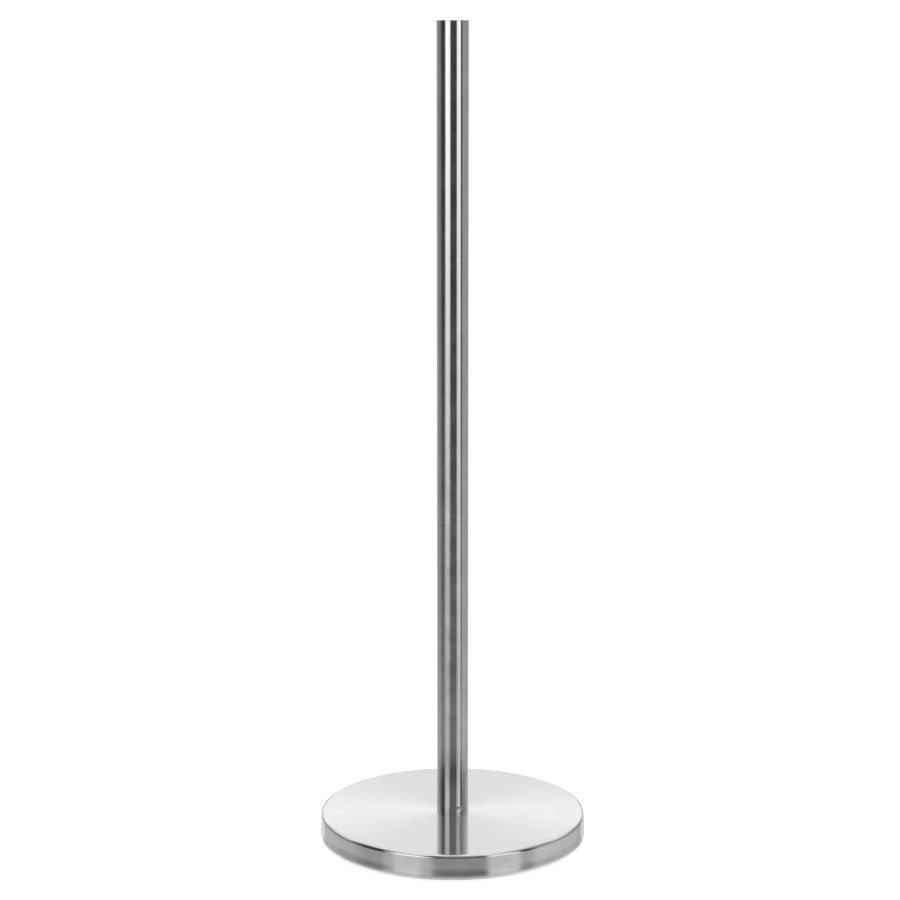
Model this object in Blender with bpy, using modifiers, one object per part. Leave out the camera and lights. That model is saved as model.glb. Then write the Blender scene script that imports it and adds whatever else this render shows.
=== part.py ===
"""Free-standing paper towel holder: a round weighted base with a plain upright post.

Units are metres, +Z is up, and the origin is on the floor under the middle of the base.
The base is a drawn steel cover rolled over a bottom plate, with a cast ballast disc inside.
The post is a tube with a turned plug crimped into its foot, held down by one screw from below.
"""

import math

import bmesh
import bpy
from mathutils import Matrix, Vector

# Clearance left between two parts that touch.
GAP = 0.0003

# Points of a turned shape that meet on the axis are merged within this distance.
MERGE_DISTANCE = 0.00001

# Driving dimensions of the whole holder.
TOTAL_HEIGHT = 0.552
BASE_RADIUS = 0.0905
BASE_TOP_Z = 0.0182
TUBE_RADIUS = 0.01065
TUBE_WALL = 0.0008

# Base cover, drawn from sheet.
SHEET = 0.0006
HEM_Z = 0.0009
SHOULDER_RADIUS = 0.0022
WALL_RADIUS = BASE_RADIUS - 0.0003
FLARE_START_Z = 0.0074
HEM_RADIUS = 0.0022
HEM_INNER_RADIUS = 0.0845
SHOULDER_STEPS = 6
HEM_STEPS = 4

# Shallow seat pressed into the cover, which the post's foot stands in.
SEAT_DEPTH = 0.0003
SEAT_Z = BASE_TOP_Z - SEAT_DEPTH
SEAT_RADIUS = TUBE_RADIUS + GAP
SEAT_SLOPE = 0.0004
SEAT_RELIEF_RADIUS = 0.0125

# Bottom plate and foot pad.
PAD_THICKNESS = HEM_Z + SHEET
PAD_OUTER_RADIUS = 0.082
PAD_INNER_RADIUS = 0.024
PAD_EDGE = 0.0003
PLATE_THICKNESS = 0.001
PLATE_RADIUS = 0.0882
PLATE_Z = PAD_THICKNESS + GAP

# Ballast disc.
BALLAST_RADIUS = 0.0865
BALLAST_CHAMFER = 0.0014
BALLAST_Z = PLATE_Z + PLATE_THICKNESS + GAP
BALLAST_TOP_Z = BASE_TOP_Z - SHEET - GAP
COUNTERBORE_RADIUS = 0.012
COUNTERBORE_DEPTH = 0.0085
CLAMP_Z = BALLAST_Z + COUNTERBORE_DEPTH

# Post screw and its washers, stacked under the clamp face.
THREAD_RADIUS = 0.004
CLEAR_RADIUS = THREAD_RADIUS + GAP
SCREW_LENGTH = 0.025
HEAD_RADIUS = 0.007
HEAD_HEIGHT = 0.0044
HEAD_FACE_RADIUS = 0.0035
HEAD_STEPS = 5
SOCKET_ACROSS_FLATS = 0.005
SOCKET_DEPTH = 0.0026
THREAD_CHAMFER = 0.0006
FLAT_WASHER_RADIUS = 0.010
FLAT_WASHER_THICKNESS = 0.0016
FLAT_WASHER_Z = CLAMP_Z - GAP - FLAT_WASHER_THICKNESS
SPRING_WASHER_RADIUS = 0.0074
SPRING_WASHER_THICKNESS = 0.002
SPRING_WASHER_SLOT = 0.0014
SPRING_WASHER_SLANT = math.radians(25)
SPRING_WASHER_Z = FLAT_WASHER_Z - GAP - SPRING_WASHER_THICKNESS
HEAD_SEAT_Z = SPRING_WASHER_Z - GAP

# Post.
POST_FOOT_Z = SEAT_Z + GAP
RIM_ROUND = 0.0003
BORE_RADIUS = TUBE_RADIUS - TUBE_WALL
PLUG_RADIUS = BORE_RADIUS - GAP
PLUG_LENGTH = 0.018
PLUG_CHAMFER = 0.0006
CAP_THICKNESS = 0.0012
CAP_WALL = 0.0008
CAP_DEPTH = 0.010

# Three crimp dimples hold the plug in the tube. One of them faces the front right.
DIMPLE_COUNT = 3
DIMPLE_ANGLE = math.radians(-65)
DIMPLE_HEIGHT = 0.0035
DIMPLE_RADIUS = 0.0017
DIMPLE_DEPTH = 0.0007
DIMPLE_BUMP = 0.0006
DIMPLE_TIP_RADIUS = 0.0009
GROOVE_DEPTH = 0.001
GROOVE_HALF_WIDTH = 0.0019

# Facets round each turned part.
BASE_STEPS = 64
POST_STEPS = 48
SMALL_STEPS = 32
DIMPLE_STEPS = 16
SMOOTH_ANGLE = math.radians(30)


def clear_scene():
    """Remove every object, so that the model starts from nothing."""
    for obj in list(bpy.data.objects):
        bpy.data.objects.remove(obj, do_unlink=True)


def make_collection(name):
    """Make a collection under the scene's own."""
    collection = bpy.data.collections.new(name)
    bpy.context.scene.collection.children.link(collection)
    return collection


def make_material(name, colour, metallic, roughness):
    """Make a Principled material."""
    material = bpy.data.materials.new(name)
    material.use_nodes = True
    shader = material.node_tree.nodes["Principled BSDF"]
    shader.inputs["Base Color"].default_value = (*colour, 1.0)
    shader.inputs["Metallic"].default_value = metallic
    shader.inputs["Roughness"].default_value = roughness
    material.diffuse_color = (*colour, 1.0)
    return material


def arc(centre, radius, start, end, steps):
    """Points (r, z) along an arc; the angles are in degrees, from +r towards +z."""
    points = []
    for step in range(steps + 1):
        angle = math.radians(start + (end - start) * step / steps)
        points.append((centre[0] + radius * math.cos(angle), centre[1] + radius * math.sin(angle)))
    return points


def turned(name, profile, steps, material, collection, closed=True):
    """Turn a profile of (r, z) points about the Z axis with a Screw modifier.

    The profile runs down its outer side. A closed one is a ring's section.
    """
    mesh = bpy.data.meshes.new(name)
    count = len(profile)
    edges = [(i, i + 1) for i in range(count - 1)]
    if closed:
        edges.append((count - 1, 0))
    mesh.from_pydata([(r, 0.0, z) for r, z in profile], edges, [])
    mesh.materials.append(material)
    obj = bpy.data.objects.new(name, mesh)
    collection.objects.link(obj)
    screw = obj.modifiers.new("Screw", "SCREW")
    screw.axis = "Z"
    screw.angle = math.tau
    screw.steps = steps
    screw.render_steps = steps
    screw.use_merge_vertices = True
    screw.merge_threshold = MERGE_DISTANCE
    screw.use_smooth_shade = True
    return obj


def bake(obj):
    """Turn an object's modifiers into its own mesh, smooth with sharp edges."""
    graph = bpy.context.evaluated_depsgraph_get()
    mesh = bpy.data.meshes.new_from_object(obj.evaluated_get(graph))
    mesh.name = obj.name
    obj.modifiers.clear()
    obj.data = mesh
    mesh.shade_smooth()
    mesh.set_sharp_from_angle(angle=SMOOTH_ANGLE)


def tool_object(name, mesh_maker, collection):
    """Make a hidden wire object that a Boolean uses."""
    mesh = bpy.data.meshes.new(name)
    bm = bmesh.new()
    mesh_maker(bm)
    bm.to_mesh(mesh)
    bm.free()
    obj = bpy.data.objects.new(name, mesh)
    collection.objects.link(obj)
    obj.display_type = "WIRE"
    obj.hide_render = True
    return obj


def boolean(obj, tool, operation):
    """Cut an object with a tool, or join the tool to it."""
    modifier = obj.modifiers.new(tool.name, "BOOLEAN")
    modifier.object = tool
    modifier.operation = operation
    modifier.solver = "EXACT"


def base_cover(material, collection):
    """Drawn cover: post seat, flat top, round shoulder, wall with a slight flare, rolled hem."""
    shoulder = (WALL_RADIUS - SHOULDER_RADIUS, BASE_TOP_Z - SHOULDER_RADIUS)
    hem = (BASE_RADIUS - HEM_RADIUS, HEM_Z + HEM_RADIUS)
    outline = [
        (CLEAR_RADIUS, SEAT_Z),
        (SEAT_RADIUS, SEAT_Z),
        (SEAT_RADIUS + SEAT_SLOPE, BASE_TOP_Z),
    ]
    outline += arc(shoulder, SHOULDER_RADIUS, 90, 0, SHOULDER_STEPS)
    outline.append((WALL_RADIUS, FLARE_START_Z))
    outline += arc(hem, HEM_RADIUS, 0, -90, HEM_STEPS)
    outline.append((HEM_INNER_RADIUS, HEM_Z))
    cover = turned("base_cover", outline, BASE_STEPS, material, collection, closed=False)
    shell = cover.modifiers.new("Sheet", "SOLIDIFY")
    shell.thickness = SHEET
    shell.offset = -1.0
    shell.use_even_offset = True
    bake(cover)


def bottom_plate(material, collection):
    """Flat steel disc that the cover's hem is rolled over."""
    top = PLATE_Z + PLATE_THICKNESS
    section = [
        (PLATE_RADIUS, top),
        (PLATE_RADIUS, PLATE_Z),
        (COUNTERBORE_RADIUS, PLATE_Z),
        (COUNTERBORE_RADIUS, top),
    ]
    plate = turned("bottom_plate", section, BASE_STEPS, material, collection)
    bake(plate)


def foot_pad(material, collection):
    """Rubber ring under the bottom plate, which the holder stands on."""
    section = [
        (PAD_OUTER_RADIUS, PAD_THICKNESS),
        (PAD_OUTER_RADIUS, PAD_EDGE),
        (PAD_OUTER_RADIUS - PAD_EDGE, 0.0),
        (PAD_INNER_RADIUS + PAD_EDGE, 0.0),
        (PAD_INNER_RADIUS, PAD_EDGE),
        (PAD_INNER_RADIUS, PAD_THICKNESS),
    ]
    pad = turned("foot_pad", section, BASE_STEPS, material, collection)
    bake(pad)


def ballast_disc(material, collection):
    """Cast disc that fills the base, with a counterbore for the screw head.

    A shallow relief in its top clears the post's seat.
    """
    section = [
        (BALLAST_RADIUS - BALLAST_CHAMFER, BALLAST_TOP_Z),
        (BALLAST_RADIUS, BALLAST_TOP_Z - BALLAST_CHAMFER),
        (BALLAST_RADIUS, BALLAST_Z + BALLAST_CHAMFER),
        (BALLAST_RADIUS - BALLAST_CHAMFER, BALLAST_Z),
        (COUNTERBORE_RADIUS, BALLAST_Z),
        (COUNTERBORE_RADIUS, CLAMP_Z),
        (CLEAR_RADIUS, CLAMP_Z),
        (CLEAR_RADIUS, BALLAST_TOP_Z - SEAT_DEPTH),
        (SEAT_RELIEF_RADIUS, BALLAST_TOP_Z - SEAT_DEPTH),
        (SEAT_RELIEF_RADIUS, BALLAST_TOP_Z),
    ]
    ballast = turned("ballast_disc", section, BASE_STEPS, material, collection)
    bake(ballast)


def post_tube(material, collection, tools):
    """Straight tube, pressed in at three dimples near its foot."""
    section = [
        (TUBE_RADIUS - RIM_ROUND, TOTAL_HEIGHT),
        (TUBE_RADIUS, TOTAL_HEIGHT - RIM_ROUND),
        (TUBE_RADIUS, POST_FOOT_Z),
        (BORE_RADIUS, POST_FOOT_Z),
        (BORE_RADIUS, TOTAL_HEIGHT),
    ]
    tube = turned("post_tube", section, POST_STEPS, material, collection)
    ball_radius = (DIMPLE_RADIUS**2 + DIMPLE_DEPTH**2) / (2 * DIMPLE_DEPTH)
    ball_reach = TUBE_RADIUS - DIMPLE_DEPTH + ball_radius
    bump_tip = BORE_RADIUS - DIMPLE_BUMP
    bump_root = BORE_RADIUS + TUBE_WALL / 3

    def place(angle, reach):
        """Matrix that turns +Z outwards at this angle, at the dimples' height."""
        outwards = Vector((math.cos(angle), math.sin(angle), 0.0))
        spot = outwards * reach + Vector((0.0, 0.0, BASE_TOP_Z + DIMPLE_HEIGHT))
        return Matrix.Translation(spot) @ outwards.to_track_quat("Z", "Y").to_matrix().to_4x4()

    angles = [DIMPLE_ANGLE + math.tau * i / DIMPLE_COUNT for i in range(DIMPLE_COUNT)]

    def make_bumps(bm):
        for angle in angles:
            bmesh.ops.create_cone(
                bm,
                cap_ends=True,
                segments=DIMPLE_STEPS,
                radius1=DIMPLE_TIP_RADIUS,
                radius2=DIMPLE_RADIUS,
                depth=bump_root - bump_tip,
                matrix=place(angle, (bump_root + bump_tip) / 2),
            )

    def make_balls(bm):
        for angle in angles:
            bmesh.ops.create_uvsphere(
                bm,
                u_segments=DIMPLE_STEPS,
                v_segments=DIMPLE_STEPS,
                radius=ball_radius,
                matrix=place(angle, ball_reach),
            )

    boolean(tube, tool_object("dimple_bumps", make_bumps, tools), "UNION")
    boolean(tube, tool_object("dimple_balls", make_balls, tools), "DIFFERENCE")
    bake(tube)


def post_top_cap(material, collection):
    """Drawn cup pressed into the top of the tube, flush with its end."""
    outline = [
        (0.0, TOTAL_HEIGHT),
        (PLUG_RADIUS - RIM_ROUND, TOTAL_HEIGHT),
        (PLUG_RADIUS, TOTAL_HEIGHT - RIM_ROUND),
        (PLUG_RADIUS, TOTAL_HEIGHT - CAP_DEPTH),
        (PLUG_RADIUS - CAP_WALL, TOTAL_HEIGHT - CAP_DEPTH),
        (PLUG_RADIUS - CAP_WALL, TOTAL_HEIGHT - CAP_THICKNESS),
        (0.0, TOTAL_HEIGHT - CAP_THICKNESS),
    ]
    cap = turned("post_top_cap", outline, POST_STEPS, material, collection, closed=False)
    bake(cap)


def post_plug(material, collection):
    """Turned insert in the tube's foot, threaded for the screw and grooved for the dimples."""
    top = POST_FOOT_Z + PLUG_LENGTH
    groove_z = BASE_TOP_Z + DIMPLE_HEIGHT
    section = [
        (PLUG_RADIUS - PLUG_CHAMFER, top),
        (PLUG_RADIUS, top - PLUG_CHAMFER),
        (PLUG_RADIUS, groove_z + GROOVE_HALF_WIDTH),
        (PLUG_RADIUS - GROOVE_DEPTH, groove_z + GROOVE_HALF_WIDTH - GROOVE_DEPTH / 2),
        (PLUG_RADIUS - GROOVE_DEPTH, groove_z - GROOVE_HALF_WIDTH + GROOVE_DEPTH / 2),
        (PLUG_RADIUS, groove_z - GROOVE_HALF_WIDTH),
        (PLUG_RADIUS, POST_FOOT_Z),
        (CLEAR_RADIUS + PLUG_CHAMFER, POST_FOOT_Z),
        (CLEAR_RADIUS, POST_FOOT_Z + PLUG_CHAMFER),
        (CLEAR_RADIUS, top),
    ]
    plug = turned("post_plug", section, POST_STEPS, material, collection)
    bake(plug)


def post_screw(material, collection, tools):
    """Button-head socket screw that runs up through the base into the plug."""
    tip_z = HEAD_SEAT_Z + SCREW_LENGTH
    face_z = HEAD_SEAT_Z - HEAD_HEIGHT
    outline = [
        (0.0, tip_z),
        (THREAD_RADIUS - THREAD_CHAMFER, tip_z),
        (THREAD_RADIUS, tip_z - THREAD_CHAMFER),
        (THREAD_RADIUS, HEAD_SEAT_Z),
    ]
    for step in range(HEAD_STEPS + 1):
        turn = math.pi / 2 * step / HEAD_STEPS
        radius = HEAD_FACE_RADIUS + (HEAD_RADIUS - HEAD_FACE_RADIUS) * math.cos(turn)
        outline.append((radius, HEAD_SEAT_Z - HEAD_HEIGHT * math.sin(turn)))
    outline.append((0.0, face_z))
    screw = turned("post_screw", outline, SMALL_STEPS, material, collection, closed=False)
    across_corners = SOCKET_ACROSS_FLATS / math.cos(math.radians(30))

    def make_socket(bm):
        bmesh.ops.create_cone(
            bm,
            cap_ends=True,
            segments=6,
            radius1=across_corners / 2,
            radius2=across_corners / 2,
            depth=2 * SOCKET_DEPTH,
            matrix=Matrix.Translation((0.0, 0.0, face_z)),
        )

    boolean(screw, tool_object("socket_key", make_socket, tools), "DIFFERENCE")
    bake(screw)


def washer_ring(name, radius, thickness, bottom_z, material, collection):
    """Plain ring round the screw, which both washers start from."""
    section = [
        (radius, bottom_z + thickness),
        (radius, bottom_z),
        (CLEAR_RADIUS, bottom_z),
        (CLEAR_RADIUS, bottom_z + thickness),
    ]
    return turned(name, section, SMALL_STEPS, material, collection)


def flat_washer(material, collection):
    """Flat washer that spreads the screw's load over the ballast."""
    ring = washer_ring(
        "flat_washer",
        FLAT_WASHER_RADIUS,
        FLAT_WASHER_THICKNESS,
        FLAT_WASHER_Z,
        material,
        collection,
    )
    bake(ring)


def spring_washer(material, collection, tools):
    """Split lock washer, cut through by one slanting slot."""
    ring = washer_ring(
        "spring_washer",
        SPRING_WASHER_RADIUS,
        SPRING_WASHER_THICKNESS,
        SPRING_WASHER_Z,
        material,
        collection,
    )
    middle = Vector((SPRING_WASHER_RADIUS, 0.0, SPRING_WASHER_Z + SPRING_WASHER_THICKNESS / 2))
    slant = Matrix.Rotation(SPRING_WASHER_SLANT, 4, "X")
    length = 2 * SPRING_WASHER_RADIUS - THREAD_RADIUS
    size = Matrix.Diagonal((length, SPRING_WASHER_SLOT, 3 * SPRING_WASHER_THICKNESS, 1.0))

    def make_slot(bm):
        bmesh.ops.create_cube(bm, size=1.0, matrix=Matrix.Translation(middle) @ slant @ size)

    boolean(ring, tool_object("washer_slot", make_slot, tools), "DIFFERENCE")
    bake(ring)


def main():
    """Build every part of the holder."""
    clear_scene()
    parts = make_collection("paper_towel_holder")
    tools = make_collection("cutters")

    base_cover(make_material("brushed_cover", (0.62, 0.61, 0.60), 1.0, 0.30), parts)
    bottom_plate(make_material("zinc_sheet", (0.55, 0.56, 0.57), 1.0, 0.45), parts)
    foot_pad(make_material("black_rubber", (0.02, 0.02, 0.02), 0.0, 0.85), parts)
    ballast_disc(make_material("cast_iron", (0.13, 0.13, 0.13), 0.6, 0.70), parts)
    post_tube(make_material("brushed_tube", (0.60, 0.59, 0.58), 1.0, 0.28), parts, tools)
    post_top_cap(make_material("brushed_cap", (0.60, 0.59, 0.58), 1.0, 0.25), parts)
    post_plug(make_material("turned_steel", (0.50, 0.50, 0.50), 1.0, 0.40), parts)
    post_screw(make_material("zinc_screw", (0.58, 0.58, 0.57), 1.0, 0.35), parts, tools)
    spring_washer(make_material("spring_steel", (0.35, 0.35, 0.36), 1.0, 0.45), parts, tools)
    flat_washer(make_material("zinc_washer", (0.60, 0.60, 0.59), 1.0, 0.40), parts)


main()
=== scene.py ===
"""Looks of a free-standing paper towel holder: fine meshes, brushed steel and a soft studio.

Lengths are in metres and +Z is up. The front is -Y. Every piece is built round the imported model.
"""

import math

import bmesh
import bpy
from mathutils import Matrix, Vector


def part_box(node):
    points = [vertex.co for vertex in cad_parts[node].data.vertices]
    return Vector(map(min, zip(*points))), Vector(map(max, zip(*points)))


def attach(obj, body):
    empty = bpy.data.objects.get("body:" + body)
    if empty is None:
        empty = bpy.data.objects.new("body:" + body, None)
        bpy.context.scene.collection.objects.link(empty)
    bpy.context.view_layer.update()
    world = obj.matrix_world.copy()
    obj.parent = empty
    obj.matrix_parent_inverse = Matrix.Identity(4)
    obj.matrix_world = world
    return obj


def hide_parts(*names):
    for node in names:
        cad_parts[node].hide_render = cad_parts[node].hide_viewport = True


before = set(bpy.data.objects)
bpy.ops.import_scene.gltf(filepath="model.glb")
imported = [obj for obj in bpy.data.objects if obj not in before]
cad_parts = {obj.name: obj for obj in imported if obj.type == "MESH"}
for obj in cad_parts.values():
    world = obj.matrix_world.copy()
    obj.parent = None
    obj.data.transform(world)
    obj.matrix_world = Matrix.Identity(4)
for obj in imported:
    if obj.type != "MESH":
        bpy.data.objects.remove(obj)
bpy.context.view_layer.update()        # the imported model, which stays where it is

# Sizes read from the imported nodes.
COVER_LOW, COVER_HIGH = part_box("base_cover")
PLATE_LOW, PLATE_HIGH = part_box("bottom_plate")
PAD_LOW, PAD_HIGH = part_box("foot_pad")
BALLAST_LOW, BALLAST_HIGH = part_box("ballast_disc")
TUBE_LOW, TUBE_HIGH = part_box("post_tube")
CAP_LOW, CAP_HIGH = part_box("post_top_cap")
PLUG_LOW, PLUG_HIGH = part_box("post_plug")
SCREW_LOW, SCREW_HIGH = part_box("post_screw")
SPRING_LOW, SPRING_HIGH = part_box("spring_washer")
FLAT_LOW, FLAT_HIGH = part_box("flat_washer")

# Base.
MM = 0.001
GAP = 0.3 * MM
SHEET = 0.6 * MM
SHOULDER_RADIUS = 2.2 * MM
WALL_INSET = 0.3 * MM
FLARE_START_Z = 7.4 * MM
FLARE_RADIUS = 60 * MM
HEM_RADIUS = 2.2 * MM
HEM_INNER_RADIUS = 84.5 * MM
SEAT_DEPTH = 0.3 * MM
SEAT_RADIUS = TUBE_HIGH.x + 0.05 * MM
RELIEF_MARGIN = 0.5 * MM
PAD_INNER_RADIUS = 24 * MM
COUNTERBORE_RADIUS = 12 * MM
CLAMP_Z = 11.6 * MM

# Post.
TUBE_WALL = 0.8 * MM
CAP_WALL = 0.8 * MM
CAP_THICKNESS = 1.2 * MM
DIMPLE_COUNT = 3
DIMPLE_ANGLE = math.radians(-65)
DIMPLE_Z = COVER_HIGH.z + 3.5 * MM
DIMPLE_RADIUS = 1.7 * MM
DIMPLE_DEPTH = 0.7 * MM
DIMPLE_FLAT = 0.35             # share of the dimple's radius that its flat middle takes
DIMPLE_LIP = 1.3               # reach of the raised lip, in dimple radii
DIMPLE_LIP_HEIGHT = 0.1        # height of the lip, in dimple depths
GROOVE_DEPTH = 1 * MM
GROOVE_HALF_WIDTH = 1.9 * MM

# Fasteners.
THREAD_RADIUS = 4 * MM
THREAD_PITCH = 1.25 * MM
THREAD_DEPTH = 0.6 * MM
THREAD_RUN_OUT = 1.5 * THREAD_PITCH
CLEAR_RADIUS = THREAD_RADIUS + GAP
TIP_CHAMFER = 0.3 * MM
TIP_TAPER = 0.6 * MM
HEAD_HEIGHT = 4.4 * MM
HEAD_FACE_RADIUS = 3.5 * MM
HEAD_EDGE = 0.1 * MM
SOCKET_ACROSS_FLATS = 5 * MM
SOCKET_DEPTH = 2.6 * MM
SOCKET_LIP = 0.08 * MM
DRILL_POINT_RADIUS = 2 * MM
DRILL_POINT_DEPTH = 0.5 * MM
SPRING_SLOT = 1.4 * MM
SPRING_SLANT = math.radians(25)

# Fineness of the meshes.
BASE_SEGMENTS = 256
POST_SEGMENTS = 512
SMALL_SEGMENTS = 96
ARC_STEPS = 8
SHOULDER_STEPS = 12
HEAD_STEPS = 14
DIMPLE_ROWS = 48
THREAD_ROWS = 8                # rows of points in one turn of the thread
GUARD = 0.15 * MM              # distance of the point that guards each end of a fillet
SHARPEST_BEND = 0.5            # cosine of half the sharpest turn in a sheet's section
ON_AXIS = 0.0001 * MM          # anything nearer to the axis than this is on it
SHARP_ANGLE = math.radians(40)

# Noise textures stay mostly between these two values.
NOISE_LOW = 0.3
NOISE_HIGH = 0.7

# Depths of the marks in brushed steel, as shares of their widths.
SCRATCH_DEPTH = 0.02
STREAK_DEPTH = 0.001

# Camera.
CAMERA_DISTANCE = 1.530
CAMERA_HEIGHT = 0.556
CAMERA_PITCH = math.radians(10.606)
CAMERA_YAW = math.radians(0.065)
CAMERA_LENS = 93.2
CAMERA_SENSOR = 36.0
CAMERA_REACH = 100.0

# Floor, a hair under the holder so that the two share no plane.
FLOOR_HALF = 20.0
FLOOR_Z = -0.1 * MM
FLOOR_SHADE = 0.4
FLOOR_GLOW = 0.8

# Studio. Levels are brightnesses. Directions are in degrees: azimuth is 0 towards the camera and
# grows to the right, and height is 0 at the horizon.
DEGREES = 180.0 / math.pi
PAST_REAR = 200.0              # so far round that a wall has no edge at the rear
HORIZON_Z = 0.01               # keeps directions at the horizon out of the overhead plane
BACKDROP_LEVEL = 1.05
DARK_LEVEL = 0.03
GAP_AZIMUTH = 6.0
LEFT_BOX = (-50.0, -16.0)
RIGHT_BOX = (30.0, 59.0)
BOX_EDGE = 3.0
OVERHEAD_LEVEL = 1.15
TABLE_LEVEL = 0.88


# ---------------------------------------------------------------- outlines

def rounded(corners, closed=True, steps=ARC_STEPS):
    """Outline of (r, z) points from corners (r, z, fillet radius).

    A point GUARD away from each fillet keeps the flats beside it flat in the shading.
    """
    outline = []
    count = len(corners)
    for i, (r, z, radius) in enumerate(corners):
        corner = Vector((r, z))
        at_end = not closed and i in (0, count - 1)
        if radius == 0 or at_end:
            outline.append(corner)
            continue
        back = Vector(corners[i - 1][:2]) - corner
        ahead = Vector(corners[(i + 1) % count][:2]) - corner
        half = back.angle(ahead) / 2
        reach = radius / math.tan(half)
        inward = (back.normalized() + ahead.normalized()).normalized()
        centre = corner + inward * (radius / math.sin(half))
        start = corner + back.normalized() * reach
        end = corner + ahead.normalized() * reach
        if back.length > reach + 3 * GUARD:
            outline.append(start + back.normalized() * GUARD)
        from_angle = math.atan2(*(start - centre).yx)
        turn = math.atan2(*(end - centre).yx) - from_angle
        turn = (turn + math.pi) % math.tau - math.pi
        for step in range(steps + 1):
            angle = from_angle + turn * step / steps
            outline.append(centre + Vector((math.cos(angle), math.sin(angle))) * radius)
        if ahead.length > reach + 3 * GUARD:
            outline.append(end + ahead.normalized() * GUARD)
    return outline


def sheet_section(path, thickness):
    """Closed section of a bent sheet, from the path of its outer face."""
    inner = []
    for i, point in enumerate(path):
        before = path[max(i - 1, 0)]
        after = path[min(i + 1, len(path) - 1)]
        into = (point - before).normalized() if i else (after - point).normalized()
        out = (after - point).normalized() if i < len(path) - 1 else into
        along = (into + out).normalized()
        normal = Vector((along.y, -along.x))
        stretch = max(along.dot(into), SHARPEST_BEND)
        inner.append(point + normal * (thickness / stretch))
    return path + inner[::-1]


# ---------------------------------------------------------------- meshes

def circle(radius, z, segments):
    """Ring of points round the axis. The radius is a number, or a function of the angle."""
    ring = []
    for step in range(segments):
        angle = math.tau * step / segments
        r = radius(angle) if callable(radius) else radius
        ring.append(Vector((r * math.cos(angle), r * math.sin(angle), z)))
    return ring


def pole(z):
    """Ring of a single point on the axis."""
    return [Vector((0.0, 0.0, z))]


def finished(name, bm):
    """Object from a built mesh: normals outward, smooth faces and sharp edges at steep turns."""
    bmesh.ops.recalc_face_normals(bm, faces=bm.faces)
    mesh = bpy.data.meshes.new(name)
    bm.to_mesh(mesh)
    bm.free()
    mesh.shade_smooth()
    mesh.set_sharp_from_angle(angle=SHARP_ANGLE)
    obj = bpy.data.objects.new(name, mesh)
    bpy.context.scene.collection.objects.link(obj)
    return obj


def skin(name, rings, closed):
    """Mesh object through rings of points; a ring of one point is a pole."""
    bm = bmesh.new()
    rows = [[bm.verts.new(point) for point in ring] for ring in rings]
    pairs = list(zip(rows, rows[1:]))
    if closed:
        pairs.append((rows[-1], rows[0]))
    for upper, lower in pairs:
        count = max(len(upper), len(lower))
        for i in range(count):
            j = (i + 1) % count
            if len(upper) == 1:
                bm.faces.new((upper[0], lower[i], lower[j]))
            elif len(lower) == 1:
                bm.faces.new((upper[i], lower[0], upper[j]))
            else:
                bm.faces.new((upper[i], lower[i], lower[j], upper[j]))
    return finished(name, bm)


def turned(name, outline, segments, closed=True):
    """Mesh object turned from an outline of (r, z) points; a point on the axis is a pole."""
    rings = [pole(z) if r < ON_AXIS else circle(r, z, segments) for r, z in outline]
    return skin(name, rings, closed)


def place(piece, node, material):
    """Put a finished piece on the body in place of its CAD node."""
    piece.data.materials.append(material)
    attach(piece, "root")
    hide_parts(node)


# ---------------------------------------------------------------- shader nodes

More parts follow.
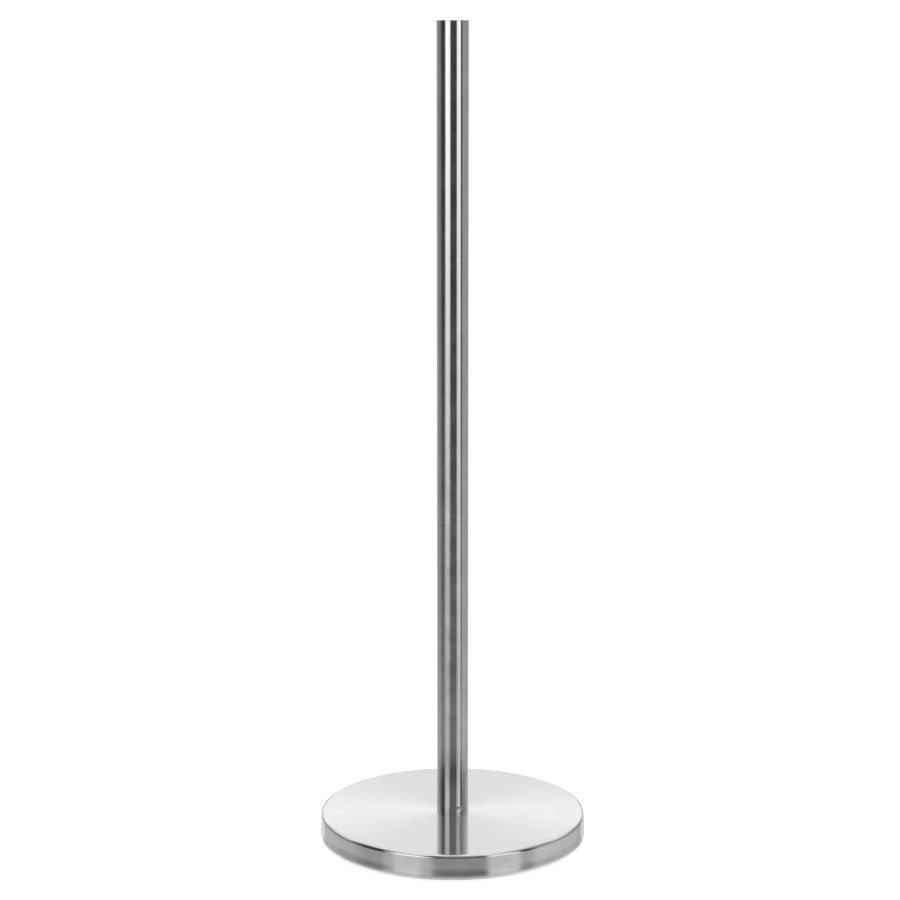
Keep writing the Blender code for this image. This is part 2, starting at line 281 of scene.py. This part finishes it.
class Nodes:
    """A tree of shader nodes and short ways to add to it. Values are outputs or numbers."""

    def __init__(self, tree, coordinates):
        self.tree = tree
        self.place = self.node("ShaderNodeTexCoord").outputs[coordinates]

    def node(self, kind, **settings):
        """New node with these settings."""
        made = self.tree.nodes.new(kind)
        for setting, value in settings.items():
            setattr(made, setting, value)
        return made

    def link(self, value, socket):
        """Connect an output to a socket, or set the socket to a number."""
        if isinstance(value, bpy.types.NodeSocket):
            self.tree.links.new(value, socket)
        else:
            socket.default_value = value

    def math(self, operation, *values):
        """Result of one operation on one or two values."""
        made = self.node("ShaderNodeMath", operation=operation)
        for value, socket in zip(values, made.inputs):
            self.link(value, socket)
        return made.outputs["Value"]

    def add(self, *values):
        """Sum of the values."""
        total = values[0]
        for value in values[1:]:
            total = self.math("ADD", total, value)
        return total

    def times(self, *values):
        """Product of the values."""
        total = values[0]
        for value in values[1:]:
            total = self.math("MULTIPLY", total, value)
        return total

    def ramp(self, value, start, end):
        """Smooth step from one (value, result) pair to another, held beyond both."""
        made = self.node("ShaderNodeMapRange", interpolation_type="SMOOTHSTEP")
        self.link(value, made.inputs["Value"])
        self.link(start[0], made.inputs["From Min"])
        self.link(end[0], made.inputs["From Max"])
        self.link(start[1], made.inputs["To Min"])
        self.link(end[1], made.inputs["To Max"])
        return made.outputs["Result"]

    def band(self, value, low, high, soft):
        """1 between low and high and 0 outside, fading over soft either side of each end."""
        rise = self.ramp(value, (low - soft, 0.0), (low + soft, 1.0))
        fall = self.ramp(value, (high - soft, 1.0), (high + soft, 0.0))
        return self.times(rise, fall)

    def vary(self, noise, value, spread):
        """Value that follows a noise, up to this share of it either way."""
        low, high = value * (1 - spread), value * (1 + spread)
        return self.ramp(noise, (NOISE_LOW, low), (NOISE_HIGH, high))

    def xyz(self, vector):
        """The three parts of a vector."""
        split = self.node("ShaderNodeSeparateXYZ")
        self.link(vector, split.inputs["Vector"])
        return split.outputs["X"], split.outputs["Y"], split.outputs["Z"]

    def vector(self, x, y, z):
        """Vector of three values."""
        joined = self.node("ShaderNodeCombineXYZ")
        for value, socket in zip((x, y, z), joined.inputs):
            self.link(value, socket)
        return joined.outputs["Vector"]

    def grey(self, value):
        """Neutral colour of this level."""
        joined = self.node("ShaderNodeCombineColor")
        for socket in joined.inputs:
            self.link(value, socket)
        return joined.outputs["Color"]

    def noise(self, vector, w=None, scale=1.0, detail=2.0, roughness=0.5):
        """Noise over a vector, and over a fourth value w if there is one."""
        made = self.node("ShaderNodeTexNoise", noise_dimensions="3D" if w is None else "4D")
        self.link(vector, made.inputs["Vector"])
        if w is not None:
            self.link(w, made.inputs["W"])
        made.inputs["Scale"].default_value = scale
        made.inputs["Detail"].default_value = detail
        made.inputs["Roughness"].default_value = roughness
        return made.outputs["Fac"]

    def mix(self, share, first, second):
        """Shader that goes from the first to the second as share goes from 0 to 1."""
        made = self.node("ShaderNodeMixShader")
        self.link(share, made.inputs["Fac"])
        self.link(first, made.inputs[1])
        self.link(second, made.inputs[2])
        return made.outputs["Shader"]


class Shader(Nodes):
    """A Principled material, its noises laid out in the object's own coordinates."""

    def __init__(self, name, metallic):
        self.material = bpy.data.materials.new(name)
        self.material.use_nodes = True
        super().__init__(self.material.node_tree, "Object")
        self.surface = self.tree.nodes["Principled BSDF"]
        self.set("Metallic", metallic)

    def set(self, name, value):
        """Set one input of the surface to a value, or connect it."""
        self.link(value, self.surface.inputs[name])

    def round_axis(self):
        """Distance from the axis, the cosine and sine of the place round it, and its height."""
        x, y, z = self.xyz(self.place)
        radius = self.math("SQRT", self.add(self.times(x, x), self.times(y, y)))
        safe = self.math("MAXIMUM", radius, 0.01 * MM)
        return radius, self.math("DIVIDE", x, safe), self.math("DIVIDE", y, safe), z

    def bump(self, height, distance, before=None):
        """Normal tilted by a height, on top of the normal before it if there is one."""
        made = self.node("ShaderNodeBump")
        made.inputs["Distance"].default_value = distance
        self.link(height, made.inputs["Height"])
        if before is not None:
            self.link(before, made.inputs["Normal"])
        return made.outputs["Normal"]

    def finish(self, tone, roughness, normal):
        """The material, with its grey tone, roughness and normal connected."""
        self.set("Base Color", self.grey(tone))
        self.set("Roughness", roughness)
        self.set("Normal", normal)
        return self.material


# ---------------------------------------------------------------- materials

def brushed_steel(name, shade, roughness, anisotropy, streak, fine, levels=()):
    """Stainless steel brushed round the Z axis: long scratches along it, seamless all round.

    streak and fine are the widths of the broad streaks and of the single scratches. levels are
    steps (from z, to z, change) of the roughness with height, as where a wheel pressed harder.
    """
    s = Shader(name, metallic=1.0)
    radius, cosine, sine, z = s.round_axis()

    def scratches(width, breaks, detail):
        across = 1.0 / width
        spot = s.vector(s.times(radius, across), s.times(cosine, breaks), s.times(sine, breaks))
        return s.noise(spot, s.times(z, across), detail=detail, roughness=0.6)

    broad = scratches(streak, breaks=2.2, detail=4.0)
    single = scratches(fine, breaks=5.0, detail=2.0)
    cloud = s.noise(s.place, scale=70.0, detail=4.0, roughness=0.6)
    tone = s.times(s.vary(broad, shade, 0.02), s.vary(single, 1.0, 0.04), s.vary(cloud, 1.0, 0.03))
    steps = [s.ramp(z, (low, 0.0), (high, change)) for low, high, change in levels]
    smudge = s.ramp(cloud, (0.35, -0.012), (0.65, 0.012))
    rough = s.add(s.vary(broad, roughness, 0.04), smudge, *steps)
    relief = s.bump(broad, streak * STREAK_DEPTH)
    relief = s.bump(single, fine * SCRATCH_DEPTH, before=relief)
    tangent = s.node("ShaderNodeTangent", direction_type="RADIAL", axis="Z")
    s.set("Tangent", tangent.outputs["Tangent"])
    s.set("Anisotropic", anisotropy)
    s.set("Anisotropic Rotation", 0.25)        # a quarter turn lays the scratches round the axis
    return s.finish(tone, rough, relief)


def cover_steel():
    """Steel of the cover, polished a little finer on the shoulder and the top than on the wall."""
    shoulder_z = COVER_HIGH.z - SHOULDER_RADIUS
    levels = (
        (shoulder_z - 0.6 * MM, shoulder_z + 0.6 * MM, -0.03),
        (COVER_HIGH.z - 0.5 * MM, COVER_HIGH.z - 0.05 * MM, 0.01),
    )
    return brushed_steel(
        "brushed_cover",
        shade=0.62,
        roughness=0.20,
        anisotropy=1.0,
        streak=2.4 * MM,
        fine=0.25 * MM,
        levels=levels,
    )


def tube_steel():
    """Steel of the tube, brushed round it with a fine belt."""
    return brushed_steel(
        "brushed_tube",
        shade=0.60,
        roughness=0.16,
        anisotropy=1.0,
        streak=1.1 * MM,
        fine=0.22 * MM,
    )


def cap_steel():
    """Steel of the top cap, duller than the tube and brushed in circles."""
    return brushed_steel(
        "brushed_cap",
        shade=0.60,
        roughness=0.26,
        anisotropy=0.70,
        streak=0.6 * MM,
        fine=0.18 * MM,
    )


def plated_steel(name, shade, roughness, grain):
    """Zinc plated or turned steel: a dull even metal with a fine cloudy grain."""
    s = Shader(name, metallic=1.0)
    cloud = s.noise(s.place, scale=grain, detail=4.0, roughness=0.6)
    fine = s.noise(s.place, scale=grain * 9.0)
    tone = s.vary(cloud, shade, 0.1)
    rough = s.vary(cloud, roughness, -0.15)
    return s.finish(tone, rough, s.bump(fine, 0.01 * MM))


def rubber(name, shade):
    """Black rubber sheet with a fine pebbled skin and a little dust."""
    s = Shader(name, metallic=0.0)
    pebble = s.node("ShaderNodeTexVoronoi")
    pebble.inputs["Scale"].default_value = 1600.0
    s.link(s.place, pebble.inputs["Vector"])
    dust = s.noise(s.place, scale=120.0, detail=5.0, roughness=0.7)
    tone = s.ramp(dust, (0.4, shade), (0.75, shade * 2.2))
    rough = s.ramp(dust, (NOISE_LOW, 0.78), (NOISE_HIGH, 0.9))
    return s.finish(tone, rough, s.bump(pebble.outputs["Distance"], 0.05 * MM))


def cast_iron(name, shade):
    """Cast iron under thin primer: sandy skin, with patches of bare metal."""
    s = Shader(name, metallic=0.35)
    sand = s.noise(s.place, scale=900.0, detail=5.0, roughness=0.7)
    patch = s.noise(s.place, scale=60.0, detail=4.0)
    tone = s.ramp(patch, (0.35, shade * 0.8), (0.65, shade * 1.25))
    rough = s.ramp(patch, (0.35, 0.6), (0.65, 0.75))
    return s.finish(tone, rough, s.bump(sand, 0.12 * MM))


# ---------------------------------------------------------------- base

def base_cover():
    """Drawn cover: post seat, flat top, shoulder, slightly flared wall and rolled hem."""
    top = COVER_HIGH.z
    seat_z = top - SEAT_DEPTH
    outer = COVER_HIGH.x
    wall = outer - WALL_INSET
    hem = Vector((outer - HEM_RADIUS, COVER_LOW.z + HEM_RADIUS))
    path = rounded(
        [
            (CLEAR_RADIUS, seat_z, 0),
            (SEAT_RADIUS, seat_z, 0.1 * MM),
            (SEAT_RADIUS, top, 0.04 * MM),
            (wall, top, SHOULDER_RADIUS),
            (wall, FLARE_START_Z, FLARE_RADIUS),
            (outer, hem.y, 0),
        ],
        closed=False,
        steps=SHOULDER_STEPS,
    )
    for step in range(1, ARC_STEPS + 1):
        angle = -math.pi / 2 * step / ARC_STEPS
        path.append(hem + Vector((math.cos(angle), math.sin(angle))) * HEM_RADIUS)
    path.append(Vector((HEM_INNER_RADIUS, COVER_LOW.z)))
    return turned("cover", sheet_section(path, SHEET), BASE_SEGMENTS)


def bottom_plate():
    """Flat disc under the ballast, blanked from sheet, so its edges are a little rounded."""
    edge = 0.2 * MM
    outline = rounded(
        [
            (PLATE_HIGH.x, PLATE_HIGH.z, edge),
            (PLATE_HIGH.x, PLATE_LOW.z, edge),
            (COUNTERBORE_RADIUS, PLATE_LOW.z, edge),
            (COUNTERBORE_RADIUS, PLATE_HIGH.z, edge),
        ]
    )
    return turned("plate", outline, BASE_SEGMENTS)


def foot_pad():
    """Rubber ring that the holder stands on, softer at its lower edges."""
    edge = 0.3 * MM
    glued_edge = 0.1 * MM
    outline = rounded(
        [
            (PAD_HIGH.x, PAD_HIGH.z, glued_edge),
            (PAD_HIGH.x, PAD_LOW.z, edge),
            (PAD_INNER_RADIUS, PAD_LOW.z, edge),
            (PAD_INNER_RADIUS, PAD_HIGH.z, glued_edge),
        ]
    )
    return turned("pad", outline, BASE_SEGMENTS)


def ballast_disc():
    """Cast disc with soft edges, a relief for the post's seat and a counterbore below."""
    cast, bored, drilled, milled = 1.6 * MM, 0.4 * MM, 0.2 * MM, 0.1 * MM
    relief_radius = COUNTERBORE_RADIUS + RELIEF_MARGIN
    relief_z = BALLAST_HIGH.z - SEAT_DEPTH
    outline = rounded(
        [
            (BALLAST_HIGH.x, BALLAST_HIGH.z, cast),
            (BALLAST_HIGH.x, BALLAST_LOW.z, cast),
            (COUNTERBORE_RADIUS, BALLAST_LOW.z, bored),
            (COUNTERBORE_RADIUS, CLAMP_Z, bored),
            (CLEAR_RADIUS, CLAMP_Z, drilled),
            (CLEAR_RADIUS, relief_z, drilled),
            (relief_radius, relief_z, milled),
            (relief_radius, BALLAST_HIGH.z, milled),
        ]
    )
    return turned("ballast", outline, BASE_SEGMENTS)


# ---------------------------------------------------------------- post

def dent(angle, z):
    """Depth of the dimples at this place on the tube, in dimple depths; their lips are below 0."""
    nearest = DIMPLE_RADIUS * DIMPLE_LIP
    for i in range(DIMPLE_COUNT):
        away = angle - DIMPLE_ANGLE - math.tau * i / DIMPLE_COUNT
        away = (away + math.pi) % math.tau - math.pi
        nearest = min(nearest, math.hypot(away * TUBE_HIGH.x, z - DIMPLE_Z))
    reach = nearest / DIMPLE_RADIUS
    if reach < 1:
        slope = max(reach - DIMPLE_FLAT, 0) / (1 - DIMPLE_FLAT)
        return 1 - slope**2 * (3 - 2 * slope)
    lip = min((reach - 1) / (DIMPLE_LIP - 1), 1)
    return -DIMPLE_LIP_HEIGHT * math.sin(math.pi * lip) ** 2


def dented_ring(r, z):
    """Ring of the tube at this height, pressed in at the dimples."""
    return circle(lambda angle: r - DIMPLE_DEPTH * dent(angle, z), z, POST_SEGMENTS)


def post_tube():
    """Straight tube with fine edges, pressed in at three dimples near its foot."""
    outer, inner = TUBE_HIGH.x, TUBE_HIGH.x - TUBE_WALL
    rim = 0.3 * MM
    edge = 0.06 * MM
    outline = rounded(
        [
            (outer, TUBE_HIGH.z, rim),
            (outer, TUBE_LOW.z, edge),
            (inner, TUBE_LOW.z, edge),
            (inner, TUBE_HIGH.z, edge),
        ]
    )
    reach = DIMPLE_RADIUS * DIMPLE_LIP
    dented = [DIMPLE_Z + reach * (1 - 2 * i / DIMPLE_ROWS) for i in range(DIMPLE_ROWS + 1)]
    rings = []
    for (r, z), following in zip(outline, outline[1:] + outline[:1]):
        rings.append(circle(r, z, POST_SEGMENTS))
        if z > DIMPLE_Z > following.y:
            rings += [dented_ring(r, height) for height in dented]
        elif z < DIMPLE_Z < following.y:
            rings += [dented_ring(r, height) for height in reversed(dented)]
    return skin("tube", rings, closed=True)


def post_top_cap():
    """Drawn cup in the tube's top, flat and with a rolled edge."""
    outer = CAP_HIGH.x
    top = CAP_HIGH.z
    face_edge, rim, hollow = 0.5 * MM, 0.2 * MM, 0.8 * MM
    outline = rounded(
        [
            (0.0, top, 0),
            (outer, top, face_edge),
            (outer, CAP_LOW.z, rim),
            (outer - CAP_WALL, CAP_LOW.z, rim),
            (outer - CAP_WALL, top - CAP_THICKNESS, hollow),
            (0.0, top - CAP_THICKNESS, 0),
        ],
        closed=False,
    )
    return turned("top_cap", outline, POST_SEGMENTS, closed=False)


def post_plug():
    """Turned insert in the tube's foot, grooved for the dimples and bored for the screw."""
    outer = PLUG_HIGH.x
    low, high = PLUG_LOW.z, PLUG_HIGH.z
    groove = outer - GROOVE_DEPTH
    groove_top, groove_foot = DIMPLE_Z + GROOVE_HALF_WIDTH, DIMPLE_Z - GROOVE_HALF_WIDTH
    slant = GROOVE_DEPTH / 2
    fine = 0.1 * MM
    outline = rounded(
        [
            (outer, high, 0.6 * MM),
            (outer, groove_top, fine),
            (groove, groove_top - slant, fine),
            (groove, groove_foot + slant, fine),
            (outer, groove_foot, fine),
            (outer, low, 0.2 * MM),
            (CLEAR_RADIUS, low, 0.5 * MM),
            (CLEAR_RADIUS, high, 0.4 * MM),
        ]
    )
    return turned("plug", outline, SMALL_SEGMENTS)


# ---------------------------------------------------------------- fasteners

def threaded_ring(z, low, high):
    """Ring of the screw's shaft at height z. The thread fades out at both ends, low and high."""
    fade = min((high - z) / THREAD_RUN_OUT, (z - low) / THREAD_RUN_OUT, 1.0)
    taper = TIP_TAPER * (1 - min((high - z) / THREAD_PITCH, 1.0))

    def radius(angle):
        phase = (z / THREAD_PITCH - angle / math.tau) % 1.0
        return THREAD_RADIUS - THREAD_DEPTH * abs(2 * phase - 1) * fade - taper

    return circle(radius, z, SMALL_SEGMENTS)


def hexagon(offset, z):
    """Ring along the wall of the key socket, this far outside it."""
    sixth = math.pi / 3

    def radius(angle):
        return SOCKET_ACROSS_FLATS / 2 / math.cos((angle % sixth) - sixth / 2) + offset

    return circle(radius, z, SMALL_SEGMENTS)


def post_screw():
    """Button-head socket screw with a rolled thread; it points up and its head is below."""
    head_seat = SCREW_LOW.z + HEAD_HEIGHT
    tip = SCREW_HIGH.z
    shaft = tip - head_seat
    rings = [pole(tip), circle(THREAD_RADIUS - THREAD_DEPTH - TIP_CHAMFER, tip, SMALL_SEGMENTS)]
    rows = int(shaft / THREAD_PITCH * THREAD_ROWS)
    rings += [threaded_ring(tip - shaft * i / rows, head_seat, tip) for i in range(1, rows)]
    rings.append(circle(THREAD_RADIUS, head_seat, SMALL_SEGMENTS))
    head_radius = SCREW_HIGH.x
    rings.append(circle(head_radius - HEAD_EDGE, head_seat, SMALL_SEGMENTS))
    for step in range(HEAD_STEPS + 1):
        turn = math.pi / 2 * step / HEAD_STEPS
        r = HEAD_FACE_RADIUS + (head_radius - HEAD_FACE_RADIUS) * math.cos(turn)
        rings.append(circle(r, head_seat - HEAD_HEIGHT * math.sin(turn), SMALL_SEGMENTS))
    face = SCREW_LOW.z
    floor_z = face + SOCKET_DEPTH
    rings.append(hexagon(SOCKET_LIP, face))
    rings.append(hexagon(0.0, face + SOCKET_LIP))
    rings.append(hexagon(0.0, floor_z - SOCKET_LIP))
    rings.append(hexagon(-SOCKET_LIP, floor_z))
    rings.append(circle(DRILL_POINT_RADIUS, floor_z, SMALL_SEGMENTS))
    rings.append(pole(floor_z + DRILL_POINT_DEPTH))
    return skin("screw", rings, closed=False)


def flat_washer():
    """Stamped washer: rounded on its lower face and crisp on its upper one."""
    crisp = 0.1 * MM
    outline = rounded(
        [
            (FLAT_HIGH.x, FLAT_HIGH.z, crisp),
            (FLAT_HIGH.x, FLAT_LOW.z, 0.4 * MM),
            (CLEAR_RADIUS, FLAT_LOW.z, 0.3 * MM),
            (CLEAR_RADIUS, FLAT_HIGH.z, crisp),
        ]
    )
    return turned("washer", outline, SMALL_SEGMENTS)


def spring_washer():
    """Split lock washer, clamped flat, with a slanting slot and rounded edges."""
    edge = 0.25 * MM
    section = rounded(
        [
            (SPRING_HIGH.x, SPRING_HIGH.z, edge),
            (SPRING_HIGH.x, SPRING_LOW.z, edge),
            (CLEAR_RADIUS, SPRING_LOW.z, edge),
            (CLEAR_RADIUS, SPRING_HIGH.z, edge),
        ]
    )
    middle = (SPRING_LOW.z + SPRING_HIGH.z) / 2
    bm = bmesh.new()
    slices = []
    for step in range(SMALL_SEGMENTS + 1):
        row = []
        for r, z in section:
            half = SPRING_SLOT / 2 / r
            lean = (z - middle) * math.tan(SPRING_SLANT) / r
            angle = half + (math.tau - 2 * half) * step / SMALL_SEGMENTS - lean
            row.append(bm.verts.new((r * math.cos(angle), r * math.sin(angle), z)))
        slices.append(row)
    for this, following in zip(slices, slices[1:]):
        for i in range(len(section)):
            j = (i + 1) % len(section)
            bm.faces.new((this[i], this[j], following[j], following[i]))
    bm.faces.new(slices[0])
    bm.faces.new(slices[-1])
    return finished("lock_washer", bm)


# ---------------------------------------------------------------- studio

class Sky(Nodes):
    """The studio round the holder: the brightness of every direction, by azimuth and height."""

    def __init__(self, tree):
        super().__init__(tree, "Generated")
        self.x, self.y, self.z = self.xyz(self.place)
        to_camera = self.times(self.y, -1.0)
        self.azimuth = self.times(self.math("ARCTAN2", self.x, to_camera), DEGREES)
        self.aside = self.math("ABSOLUTE", self.azimuth)
        self.height = self.times(self.math("ARCSINE", self.z), DEGREES)

    def softboxes(self):
        """A tall softbox either side of the camera, weaker low down and faded at its ends.

        The left one leans away from the camera, both above and below the horizon.
        """
        lean = self.add(
            self.ramp(self.height, (-3.0, 0.0), (-14.0, 12.0)),
            self.ramp(self.height, (4.0, 0.0), (11.0, 10.0)),
        )
        left = self.times(
            self.band(self.add(self.azimuth, lean), *LEFT_BOX, BOX_EDGE),
            self.ramp(self.height, (-10.0, 0.38), (-2.0, 2.20)),
        )
        right = self.times(
            self.band(self.azimuth, *RIGHT_BOX, BOX_EDGE),
            self.ramp(self.height, (-13.0, 0.45), (4.0, 2.00)),
        )
        top_end = self.ramp(self.height, (6.0, 1.0), (26.0, 0.25))
        low_end = self.ramp(self.height, (-14.0, 1.0), (-24.0, 0.0))
        return self.times(self.add(left, right), top_end, low_end)

    def side_walls(self):
        """Dim walls at the sides, brighter towards the rear, and a little light low down there."""
        left = self.times(
            self.add(
                self.times(self.band(self.azimuth, -PAST_REAR, -88.0, 7.0), 0.20),
                self.ramp(self.azimuth, (-95.0, 0.0), (-150.0, 0.28)),
            ),
            self.ramp(self.height, (-16.0, 1.0), (-22.0, 0.75)),
        )
        right = self.times(
            self.band(self.azimuth, 73.0, PAST_REAR, 4.0),
            self.ramp(self.height, (-10.0, 0.40), (-20.0, 0.30)),
        )
        beside_right_box = self.times(
            self.band(self.azimuth, 60.0, 72.0, 4.0),
            self.ramp(self.height, (-8.0, 0.0), (-20.0, 0.14)),
        )
        low_light = self.times(
            self.ramp(self.aside, (45.0, 0.0), (60.0, 1.0)),
            self.ramp(self.height, (-8.0, 0.0), (-20.0, 0.10)),
        )
        return self.add(left, right, beside_right_box, low_light)

    def walls(self):
        """The room: side walls, a dark front with grey above it, and two low strips at the rear.

        The front is darkest low down in the gap between the softboxes, where the camera stands.
        """
        from_gap = self.math("ABSOLUTE", self.math("SUBTRACT", self.azimuth, GAP_AZIMUTH))
        beside_gap = self.ramp(from_gap, (14.0, 0.0), (26.0, 1.0))
        in_gap = self.ramp(from_gap, (14.0, 1.0), (26.0, 0.0))
        dark = self.add(
            self.times(beside_gap, DARK_LEVEL),
            self.times(in_gap, self.ramp(self.height, (-12.0, 0.0), (-2.0, 0.045))),
        )
        round_room = self.times(
            self.add(dark, self.side_walls()),
            self.ramp(self.aside, (166.0, 1.0), (170.0, 0.3)),
        )
        front_fill = self.add(
            self.times(
                self.band(self.azimuth, -42.0, 62.0, 6.0),
                beside_gap,
                self.ramp(self.height, (6.0, 0.0), (14.0, 0.10)),
            ),
            self.times(in_gap, self.ramp(self.height, (13.0, 0.0), (21.0, 0.30))),
        )
        rear_strips = self.times(
            self.band(self.aside, 150.0, 165.0, 2.0),
            self.ramp(self.height, (8.0, 0.0), (-2.0, 1.0)),
            self.ramp(self.height, (-18.0, 0.55), (-24.0, 0.0)),
        )
        return self.add(round_room, front_fill, rear_strips)

    def overhead(self):
        """Softbox on a level plane overhead, wider behind than in front, and a lit backdrop."""
        up = self.math("MAXIMUM", self.z, HORIZON_Z)
        across = self.math("DIVIDE", self.x, up)
        along = self.math("DIVIDE", self.y, up)
        narrow = self.times(
            self.band(across, -0.7, 0.7, 0.25), self.ramp(along, (-0.7, 0.0), (-0.25, 1.0))
        )
        wide = self.times(
            self.band(across, -2.0, 2.0, 0.3), self.ramp(along, (0.25, 0.0), (0.6, 1.0))
        )
        box = self.times(
            self.math("MAXIMUM", narrow, wide),
            OVERHEAD_LEVEL,
            self.ramp(along, (1.2, 1.0), (1.8, 0.75)),
        )
        backdrop = self.times(
            self.ramp(self.aside, (138.0, 0.0), (152.0, 1.0)),
            self.ramp(self.height, (8.0, 0.0), (17.0, 1.0)),
            self.ramp(self.height, (24.0, 1.32), (36.0, 0.8)),
        )
        return self.math("MAXIMUM", box, backdrop)

    def table(self):
        """The pale table, well below the horizon, darker straight below and towards the rear."""
        return self.times(
            self.ramp(self.height, (-17.5, 0.0), (-27.0, TABLE_LEVEL)),
            self.ramp(self.height, (-45.0, 1.0), (-75.0, 0.7)),
            self.ramp(self.aside, (140.0, 1.0), (160.0, 0.35)),
        )


def studio():
    """Soft studio light on the holder, in front of a plain white backdrop."""
    world = bpy.data.worlds.new("studio")
    bpy.context.scene.world = world
    world.use_nodes = True
    world.node_tree.nodes.clear()
    sky = Sky(world.node_tree)
    room = sky.math("MAXIMUM", sky.walls(), sky.overhead())
    lit = sky.node("ShaderNodeBackground")
    sky.link(sky.grey(sky.add(room, sky.softboxes(), sky.table())), lit.inputs["Color"])
    backdrop = sky.node("ShaderNodeBackground")
    sky.link((1.0, 1.0, 1.0, 1.0), backdrop.inputs["Color"])
    sky.link(BACKDROP_LEVEL, backdrop.inputs["Strength"])
    seen = sky.node("ShaderNodeLightPath").outputs["Is Camera Ray"]
    shader = sky.mix(seen, lit.outputs["Background"], backdrop.outputs["Background"])
    sky.link(shader, sky.node("ShaderNodeOutputWorld").inputs["Surface"])


def floor():
    """Wide pale floor under the holder, clear from below so that the underside can be seen."""
    half = FLOOR_HALF
    corners = [(-half, -half, 0.0), (half, -half, 0.0), (half, half, 0.0), (-half, half, 0.0)]
    mesh = bpy.data.meshes.new("floor")
    mesh.from_pydata(corners, [], [(0, 1, 2, 3)])
    obj = bpy.data.objects.new("floor", mesh)
    obj.location.z = FLOOR_Z
    obj.visible_glossy = False
    bpy.context.scene.collection.objects.link(obj)
    s = Shader("pale_floor", metallic=0.0)
    s.set("Base Color", (FLOOR_SHADE, FLOOR_SHADE, FLOOR_SHADE, 1.0))
    s.set("Roughness", 0.9)
    s.set("Specular IOR Level", 0.0)
    s.set("Emission Color", (1.0, 1.0, 1.0, 1.0))
    s.set("Emission Strength", FLOOR_GLOW)
    from_below = s.node("ShaderNodeNewGeometry").outputs["Backfacing"]
    clear = s.node("ShaderNodeBsdfTransparent").outputs["BSDF"]
    shader = s.mix(from_below, s.surface.outputs["BSDF"], clear)
    s.link(shader, s.tree.nodes["Material Output"].inputs["Surface"])
    mesh.materials.append(s.material)


def camera():
    """Long lens a little above the holder's top, looking down at its middle."""
    data = bpy.data.cameras.new("camera")
    data.lens = CAMERA_LENS
    data.sensor_width = CAMERA_SENSOR
    data.clip_end = CAMERA_REACH
    obj = bpy.data.objects.new("camera", data)
    bpy.context.scene.collection.objects.link(obj)
    obj.location = (0.0, -CAMERA_DISTANCE, CAMERA_HEIGHT)
    obj.rotation_euler = (math.pi / 2 - CAMERA_PITCH, 0.0, CAMERA_YAW)
    bpy.context.scene.camera = obj


# ---------------------------------------------------------------- assembly

camera()
floor()
studio()
bpy.context.scene.view_settings.view_transform = "Standard"

zinc_sheet = plated_steel("zinc_sheet", shade=0.55, roughness=0.42, grain=90.0)
zinc_plate = plated_steel("zinc_plate", shade=0.58, roughness=0.35, grain=260.0)
spring_steel = plated_steel("spring_steel", shade=0.32, roughness=0.45, grain=300.0)
turned_steel = plated_steel("turned_steel", shade=0.5, roughness=0.38, grain=400.0)

place(base_cover(), "base_cover", cover_steel())
place(bottom_plate(), "bottom_plate", zinc_sheet)
place(foot_pad(), "foot_pad", rubber("black_rubber", shade=0.03))
place(ballast_disc(), "ballast_disc", cast_iron("primed_iron", shade=0.13))
place(post_tube(), "post_tube", tube_steel())
place(post_top_cap(), "post_top_cap", cap_steel())
place(post_plug(), "post_plug", turned_steel)
place(post_screw(), "post_screw", zinc_plate)
place(spring_washer(), "spring_washer", spring_steel)
place(flat_washer(), "flat_washer", zinc_plate)
